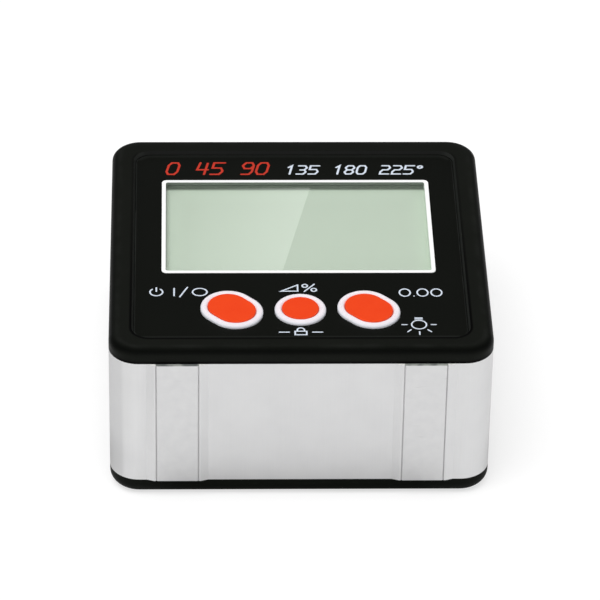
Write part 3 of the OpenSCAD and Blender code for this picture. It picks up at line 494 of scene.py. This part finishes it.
# painted shadow: a dark line along the left and far edges, cast by the well's walls
well_shadow = (panel_film.x * -1).ramp(pane_x - 0.16, pane_x - 0.06) * 0.8
well_shadow = well_shadow.most(panel_film.y.ramp(pane_y - 0.8, pane_y - 0.12))
panel_film.set({
    "Base Color": (well_shadow * 0.9).blend(film_pale, paint(112, 120, 110)),
    "Roughness": 0.4 + 0.1 * panel_film.noise(0.3),
    "Specular IOR Level": 0.2,
}).on("front_polariser", "rear_polariser")

glass = Finish("display_glass")
glass.set({
    "Base Color": glass.noise(8).blend(paint(214, 232, 222), paint(226, 240, 230)),
    "Roughness": 0.05 + 0.05 * glass.noise(0.6),
    "IOR": 1.52,
    "Transmission Weight": 0.9,
}).on("lcd_upper_glass", "lcd_lower_glass")

guide = Finish("guide_acrylic")
guide_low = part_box("backlight_guide")[0].z / mm
guide_dots = guide.specks(0.9, 0.22) * guide.z.ramp(guide_low + 0.25, guide_low + 0.05)
guide.set({
    "Base Color": guide_dots.blend(paint(236, 243, 250), paint(255, 255, 255)),
    "Roughness": 0.08 + 0.5 * guide_dots,
    "IOR": 1.49,
    "Transmission Weight": 0.85,
}).on("backlight_guide")

holder = Finish("holder_plastic")
holder.set({
    "Base Color": holder.noise(5, 3).blend(paint(232, 232, 228), paint(242, 242, 238)),
    "Roughness": 0.5 + 0.1 * holder.noise(1.2),
    "Normal": holder.relief(holder.noise(0.25), 0.006),
}).on("lcd_holder", "backlight_leds")

rubber = Finish("contact_rubber")
stripes = (abs(rubber.x) % 0.18).ramp(0.05, 0.09)
rubber.set({
    "Base Color": stripes.blend(paint(30, 28, 28), paint(206, 120, 136)),
    "Roughness": 0.7 + 0.1 * rubber.noise(0.5),
}).on("contact_strip")


# ---- Keys -----------------------------------------------------------------------------------
# Three two-shot silicone keys: a white body with a round crest, and an orange pad that fills
# its well. The white is painted paler and bluer towards its foot and pinker at its crest, as
# painted light.
crest_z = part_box("hold_key_rim")[1].z / mm
rim = Finish("key_silicone_white")
rim_soft = rim.noise(1.6, 3)
# painted light: paler and bluer towards the rim's foot, pinker at its crest
rim_foot_light = rim.z.ramp(crest_z - 0.02, crest_z - 0.25)
rim.set({
    "Base Color": (rim_foot_light * 0.9 + rim_soft * 0.1).blend(
        paint(240, 232, 238), paint(247, 248, 255)
    ),
    "Roughness": 0.42 + 0.12 * rim_soft,
    "Specular IOR Level": 0.35,
    "Normal": rim.relief(rim.noise(0.35), 0.006),
}).on("power_key_rim", "hold_key_rim", "zero_key_rim")

pad = Finish("key_silicone_orange")
pad_soft = pad.noise(2.2, 3)
pad_grain = pad.noise(0.28)
pad_face = (pad_soft * 0.7 + pad_grain * 0.3).blend(paint(233, 60, 14), paint(240, 74, 26))
pad_side = pad.z.ramp(crest_z + 0.03, crest_z - 0.02)
pad.set({
    "Base Color": pad_side.blend(pad_face, paint(246, 88, 48)),
    "Roughness": 0.48 + 0.14 * pad_soft,
    "Specular IOR Level": 0.1,
    "Normal": pad.relief(pad_grain, 0.006),
}).on("power_key_pad", "hold_key_pad", "zero_key_pad")


# ---- Printed marks --------------------------------------------------------------------------
# Silk-screened on the label film: a red and a white row of scale numbers above the window, and
# plain signs at the keys: on and off, slope, lock, zero and lamp.
ink_z = panel_top
ink_proud = 0.02
cap_angles = np.radians([90, 60, 30])


def unit(rows):
    """Each row of an array, drawn to length 1."""
    return rows / np.linalg.norm(rows, axis=1, keepdims=True)


def stroke(points, width, closed):
    """A flattened tube along a flat path. At each point the ring (w cos a, h sin a) stands on
    the mitre between the two stretches that meet there, m = (n1 + n2) / (1 + n1.n2), and an
    open end is rounded by rings that shrink by cos b while they move on by w sin b."""
    path = np.array(points, float)
    step = unit(np.diff(path, axis=0, append=path[:1]))
    ahead, behind = step, np.roll(step, 1, axis=0)
    if not closed:
        ahead = np.vstack([step[:-1], step[-2]])
        behind = np.vstack([step[0], step[:-1]])
    turned = np.array([[0, 1], [-1, 0]])
    normals = ahead @ turned, behind @ turned
    share = 1 + np.sum(normals[0] * normals[1], axis=1, keepdims=True)
    mitres = (normals[0] + normals[1]) / share
    sizes = np.ones(len(path))
    if not closed:
        reach = width / 2 * np.sin(cap_angles)[:, None]
        path = np.vstack([path[0] - reach * ahead[0], path, (path[-1] + reach * behind[-1])[::-1]])
        mitres = np.vstack([mitres[[0] * 3], mitres, mitres[[-1] * 3]])
        sizes = np.concatenate([np.cos(cap_angles), sizes, np.cos(cap_angles)[::-1]])
    around = np.radians(np.arange(0, 360, 45))
    rings = np.zeros((len(path), len(around), 3))
    spread = sizes[:, None] * np.cos(around) * width / 2
    rings[:, :, :2] = path[:, None] + mitres[:, None] * spread[:, :, None]
    rings[:, :, 2] = ink_z + sizes[:, None] * np.sin(around) * ink_proud
    return rings


def ring_faces(count, sides, closed, first):
    """Quads between each ring of so many sides and the next, as rows of vertex numbers."""
    row, side = np.meshgrid(np.arange(count - (not closed)), np.arange(sides), indexing="ij")
    following, beside = (row + 1) % count, (side + 1) % sides
    corners = (row, side), (row, beside), (following, beside), (following, side)
    return np.stack([first + r * sides + s for r, s in corners], axis=-1).reshape(-1, 4)


def print_mark(name, strokes, width, finish):
    """One printed mark: every (points, closed) stroke in mm, as one mesh that rides on the
    housing. Its ends' poles are merged, and its faces are turned outwards."""
    verts, faces, first = [], [], 0
    for points, closed in strokes:
        rings = stroke(points, width, closed)
        faces.append(ring_faces(rings.shape[0], rings.shape[1], closed, first))
        verts.append(rings.reshape(-1, 3) * mm)
        first += rings.shape[0] * rings.shape[1]
    mesh = bpy.data.meshes.new(name)
    mesh.from_pydata(np.vstack(verts).tolist(), [], np.vstack(faces).tolist())
    shape = bmesh.new()
    shape.from_mesh(mesh)
    bmesh.ops.remove_doubles(shape, verts=shape.verts, dist=1e-7)
    bmesh.ops.recalc_face_normals(shape, faces=shape.faces)
    shape.to_mesh(mesh)
    shape.free()
    mesh.shade_smooth()
    mesh.materials.append(finish.material)
    made = bpy.data.objects.new(name, mesh)
    bpy.context.scene.collection.objects.link(made)
    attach(made, "housing")


def arc(centre, radius_x, radius_y, start=0, end=360, count=24):
    """Points on an ellipse from one angle to another; a full turn leaves out its last point."""
    angles = np.radians(np.linspace(start, end, count, endpoint=end - start < 360))
    rim_x = centre[0] + radius_x * np.cos(angles)
    return list(zip(rim_x, centre[1] + radius_y * np.sin(angles)))


cut = 0.22  # how much of each corner a number's strokes cut off, in a cell of 1 by 1
closed_loop = [
    (cut, 0), (1 - cut, 0), (1, cut), (1, 1 - cut), (1 - cut, 1), (cut, 1), (0, 1 - cut), (0, cut)
]
upper_loop = [
    (cut, 0.5), (1 - cut, 0.5), (1, 0.5 + cut), (1, 1 - cut), (1 - cut, 1), (cut, 1),
    (0, 1 - cut), (0, 0.5 + cut),
]
lower_hook = [(1, 1), (0, 1), (0, 0.55), (1 - cut, 0.55), (1, 0.55 - cut), (1, cut),
    (1 - cut, 0), (0, 0)]
numbers = {
    "0": [(closed_loop, True)],
    "1": [([(0.25, 0.8), (0.6, 1), (0.6, 0)], False)],
    "2": [([(0, 1), (1 - cut, 1), (1, 1 - cut), (1, 0.5 + cut), (1 - cut, 0.5), (cut, 0.5),
        (0, 0.5 - cut), (0, 0), (1, 0)], False)],
    "3": [([(0, 1), (1 - cut, 1), (1, 1 - cut), (1, 0.5 + cut), (1 - cut, 0.5), (1, 0.5 - cut),
        (1, cut), (1 - cut, 0), (0, 0)], False), ([(0.3, 0.5), (1 - cut, 0.5)], False)],
    "4": [([(0.1, 1), (0, 0.4), (1, 0.4)], False), ([(0.8, 0.95), (0.8, 0)], False)],
    "5": [(lower_hook, False)],
    "8": [(upper_loop, True), ([(cut, 0.5), (0, 0.5 - cut), (0, cut), (cut, 0), (1 - cut, 0),
        (1, cut), (1, 0.5 - cut), (1 - cut, 0.5)], False)],
    "9": [(upper_loop, True), ([(1, 0.5 + cut), (1, cut), (1 - cut, 0), (0.1, 0)], False)],
    "°": [(arc((0.3, 0.84), 0.26, 0.14, count=12), True)],
    " ": [],
}


def number_row(text, start, baseline, height, pitch, width, slant):
    """The strokes of a row of numbers, each in a cell that leans by slant of its height."""
    return [
        ([(start + i * pitch + px * width + slant * py * height, baseline + py * height)
            for px, py in points], closed)
        for i, letter in enumerate(text) for points, closed in numbers[letter]
    ]


def ink(name, colour, deep):
    """Screen ink: a thick matt film, a little uneven where the mesh let less through."""
    made = Finish(name)
    made.set({
        "Base Color": made.noise(0.5, 3).blend(colour, deep),
        "Roughness": 0.5 + 0.15 * made.noise(0.3),
        "Specular IOR Level": 0.2,
    })
    return made


red_ink = ink("ink_red", paint(208, 58, 38), paint(186, 48, 32))
white_ink = ink("ink_white", paint(226, 234, 246), paint(206, 216, 230))
print_mark(
    "scale_numbers_red",
    number_row("0 45 90", -21.2, 20.3, 3.4, 2.45, 1.75, 0.2), 0.42, red_ink,
)
print_mark(
    "scale_numbers_white",
    number_row("135 180 225°", -1.7, 20.35, 2.45, 1.96, 1.4, 0.2), 0.36, white_ink,
)
label_line = 0.27
print_mark("on_off_sign", [
    (arc((-22.6, -13.3), 1.0, 1.0, -230, 50, 18), False), ([(-22.6, -13.1), (-22.6, -12.1)], False),
    ([(-19.8, -14.3), (-19.8, -12.3)], False), ([(-18.9, -14.6), (-17.7, -12.0)], False),
    (arc((-15.75, -13.3), 1.15, 1.0), True),
], label_line, white_ink)
print_mark("slope_sign", [
    ([(-2.9, -13.1), (-0.3, -13.1), (-0.3, -11.4)], True),
    ([(0.75, -13.2), (2.35, -11.2)], False),
    (arc((0.85, -11.65), 0.42, 0.42, count=14), True),
    (arc((2.25, -12.75), 0.42, 0.42, count=14), True),
], label_line, white_ink)
print_mark("lock_sign", [
    ([(-0.95, -24.9), (0.85, -24.9), (0.85, -23.95), (-0.95, -23.95)], True),
    ([(-0.6, -23.9), *arc((-0.05, -23.6), 0.55, 0.55, 180, 0, 9), (0.5, -23.9)], False),
    ([(-3.4, -24.2), (-1.9, -24.2)], False), ([(1.8, -24.2), (3.3, -24.2)], False),
], label_line, white_ink)
print_mark("zero_sign", [
    *((arc((x, -13.55), 0.85, 1.0), True) for x in (16.6, 19.4, 21.6)),
    ([(18.0, -14.5), (18.02, -14.5)], False),
], label_line, white_ink)
lamp_x, lamp_y = 18.46, -22.25
print_mark("lamp_sign", [
    (arc((lamp_x, lamp_y), 1.16, 1.16), True),
    *(([(lamp_x - 0.55, lamp_y + h), (lamp_x + 0.55, lamp_y + h)], False) for h in (1.5, 1.8)),
    *(([(lamp_x + 1.9 * c, lamp_y + 1.9 * s), (lamp_x + 2.65 * c, lamp_y + 2.65 * s)], False)
        for c, s in ((math.cos(math.radians(a)), math.sin(math.radians(a)))
            for a in (180, 226, 270, 314, 360))),
], 0.25, white_ink)


# ---- Tube -----------------------------------------------------------------------------------
# An aluminium extrusion, sawn to length, blasted and clear anodised. Faint drawing lines run
# along it. Handling left soft clouds and a few tiny dents. The near left corner is painted darker
# on its outside and paler on its inside, as a painted reflection.
tube = Finish("anodised_aluminium")
tube_lines = tube.noise(0.14, 2, (1, 1, 90))
tube_clouds = tube.noise(6, 4)
tube_blast = tube.noise(0.12)
tube_pits = tube.specks(3.4, 0.09) * tube.noise(5).ramp(0.5, 0.62)
tube_shade = tube_lines * 0.2 + tube_clouds * 0.6 + tube_blast * 0.2
tube_sawn = tube.z.ramp(tube_high - 0.02, tube_high - 0.005)
tube_skin = tube_shade.blend(paint(206, 206, 207), paint(230, 230, 230))
near_side = tube.y.ramp(-20, -24)
corner_line = -27.9  # where the painted reflection on the near left corner turns from dark to pale
corner_in = tube.x.ramp(corner_line - 0.4, corner_line + 0.4)
# painted reflection: a pale band inside the near left corner, a dark one outside it
painted_corner_highlight = corner_in * tube.x.ramp(corner_line + 3.9, corner_line + 1.4) * near_side
painted_corner_highlight = painted_corner_highlight * tube.z.ramp(6, 12) * 0.3
painted_corner_shade = (1 - corner_in) * (tube.z.ramp(13, 6) * 0.34 + 0.06) * near_side
tube_skin = painted_corner_highlight.blend(tube_skin, paint(240, 240, 240))
tube_skin = painted_corner_shade.blend(tube_skin, paint(190, 190, 190))
tube.set({
    "Base Color": (tube_pits * 0.25).blend(
        tube_sawn.blend(tube_skin, paint(250, 250, 246)), paint(140, 140, 140)
    ),
    "Metallic": 1 - tube_sawn * 0.9,
    "Roughness": 0.42 + 0.12 * tube_clouds + 0.06 * tube_lines,
    "Normal": tube.relief(tube_blast * 0.6 + tube_lines * 0.4, 0.004),
}).on("tube_body")


# ---- Magnet strips --------------------------------------------------------------------------
# Two bars of sintered magnet, nickel plated, pressed into the dovetail slots of the measuring
# face. The plating is softly mottled and shows rubs where it has been on steel.
strip = Finish("nickel_plating")
strip_mottle = strip.noise(1.7, 4)
strip_rub = strip.noise(0.5, 3, (7, 1, 1)).ramp(0.62, 0.75) * strip.noise(5).ramp(0.45, 0.7)
# painted shade: the strip's end and a narrow band below it dark and patchy, as under the bezel
strip_end = strip.z.ramp(tube_high - 0.16, tube_high - 0.1)
strip_skin = strip_mottle.blend(paint(206, 206, 207), paint(222, 222, 222))
strip_patches = strip.noise(2.4, 1).ramp(0.42, 0.58)
strip_end_shade = strip_patches.blend(paint(112, 116, 114), paint(168, 172, 166))
strip.set({
    "Base Color": (strip_rub * 0.35).blend(
        strip_end.blend(strip_skin, strip_end_shade), paint(178, 178, 178)
    ),
    "Metallic": 1 - strip_end * 0.9,
    "Roughness": 0.4 + 0.1 * strip_mottle,
    "Normal": strip.relief(strip_mottle, 0.004),
}).on("magnet_strip_left", "magnet_strip_right")


# ---- Rear cover and battery door ------------------------------------------------------------
# The black ABS tray under the tube and its snap-in door, both from one coarser-textured mould.
cover, _ = black_abs("cover_abs", 0.3, 0.42, 6, 14)
cover.on("rear_cover", "battery_door")


# ---- Cells and contacts ---------------------------------------------------------------------
# Two AAA cells in plain two-colour sleeves with bare steel ends, on nickel-plated spring wire
# and punched contact plates.
sleeve_half = 21.2  # half the sleeve's length
sleeve_band = 6.0  # the coloured band at its plus end
for cell_name, nub_side in (("battery_front", 1), ("battery_rear", -1)):
    low, high = (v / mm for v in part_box(cell_name))
    sleeve = Finish(f"{cell_name}_sleeve")
    along = (sleeve.x - (low.x + high.x) / 2) * nub_side
    gold = along.ramp(sleeve_half - sleeve_band - 0.1, sleeve_half - sleeve_band + 0.1)
    bare = abs(along).ramp(sleeve_half - 0.05, sleeve_half + 0.05)
    sleeve_colour = gold.blend(paint(34, 44, 58), paint(196, 142, 72))
    sleeve.set({
        "Base Color": bare.blend(sleeve_colour, paint(190, 190, 188)),
        "Metallic": bare * 0.7 + 0.25,
        "Roughness": 0.3 + 0.12 * sleeve.noise(2, 3),
        "Normal": sleeve.relief(sleeve.noise(3), 0.01),
    }).on(cell_name)

wire = Finish("spring_wire")
wire.set({
    "Base Color": wire.noise(1.2, 3).blend(paint(178, 176, 170), paint(206, 204, 198)),
    "Metallic": 1.0,
    "Roughness": 0.26 + 0.16 * wire.noise(0.5),
}).on("battery_spring_left", "battery_spring_right")

plate = Finish("contact_nickel")
plate.set({
    "Base Color": plate.noise(2.4, 3).blend(paint(188, 182, 164), paint(212, 206, 190)),
    "Metallic": 1.0,
    "Roughness": 0.3 + 0.14 * plate.noise(1),
    "Normal": plate.relief(plate.noise(0.3, 2, (1, 1, 12)), 0.004),
}).on("minus_terminal", "plus_terminal", "battery_link")


# ---- Board and its parts --------------------------------------------------------------------
# A green glass-fibre board under the display with its sensor, controller, crystal, capacitors
# and three key switches, soldered on.
board = Finish("solder_mask")
tracks = (
    (abs(board.x + board.noise(5, 0) * 2) % 1.27).ramp(0.3, 0.22)
    * board.noise(6, 0).ramp(0.48, 0.56)
)
board.set({
    "Base Color": tracks.blend(paint(18, 78, 44), paint(34, 112, 62)),
    "Roughness": 0.32 + 0.1 * board.noise(3),
    "Normal": board.relief(tracks, 0.02),
}).on("main_board")

chip = Finish("moulded_epoxy")
board_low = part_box("main_board")[0].z / mm
chip_edge = chip.z.ramp(board_low - 0.25, board_low - 0.15)
chip.set({
    "Base Color": chip_edge.blend(paint(34, 34, 36), paint(176, 176, 174)),
    "Metallic": chip_edge,
    "Roughness": 0.5 + 0.15 * chip.noise(0.6, 3),
    "Normal": chip.relief(chip.noise(0.12), 0.006),
}).on("controller_chip", "tilt_sensor")

can = Finish("crystal_can")
can.set({
    "Base Color": can.noise(2, 3).blend(paint(196, 196, 194), paint(218, 218, 214)),
    "Metallic": 1.0,
    "Roughness": 0.22 + 0.14 * can.noise(0.9),
}).on("clock_crystal")

ceramic = Finish("capacitor_ceramic")
ceramic_end = (abs(ceramic.x) % 1.0).ramp(0.35, 0.4)
ceramic.set({
    "Base Color": ceramic_end.blend(paint(158, 118, 78), paint(196, 194, 188)),
    "Roughness": 0.45 + 0.15 * ceramic.noise(0.4),
}).on("board_capacitors")

switch = Finish("switch_nylon")
switch_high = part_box("hold_switch")[1].z / mm
switch_cap = switch.z.ramp(switch_high - 0.4, switch_high - 0.3)
switch.set({
    "Base Color": switch_cap.blend(paint(36, 36, 38), paint(186, 186, 184)),
    "Metallic": switch_cap,
    "Roughness": 0.42 + 0.14 * switch.noise(0.7, 3),
}).on("power_switch", "hold_switch", "zero_switch")

plunger = Finish("plunger_nylon")
plunger.set({
    "Base Color": plunger.noise(0.8).blend(paint(20, 20, 20), paint(34, 34, 34)),
    "Roughness": 0.45 + 0.12 * plunger.noise(0.5),
}).on("power_plunger", "hold_plunger", "zero_plunger")


# ---- Screws ---------------------------------------------------------------------------------
# Thread-forming pan heads with a cross recess: black oxide for the case, zinc for the board.
oxide = Finish("black_oxide")
oxide_wear = oxide.noise(0.4, 3).ramp(0.58, 0.75)
oxide.set({
    "Base Color": (oxide_wear * 0.4).blend(paint(46, 46, 48), paint(120, 120, 120)),
    "Metallic": 0.9,
    "Roughness": 0.34 + 0.2 * oxide.noise(0.6),
}).on("case_screws")

zinc = Finish("zinc_plating")
zinc.set({
    "Base Color": zinc.noise(0.9, 3).blend(paint(186, 188, 190), paint(212, 212, 208)),
    "Metallic": 1.0,
    "Roughness": 0.28 + 0.16 * zinc.noise(0.4),
}).on("board_screws")
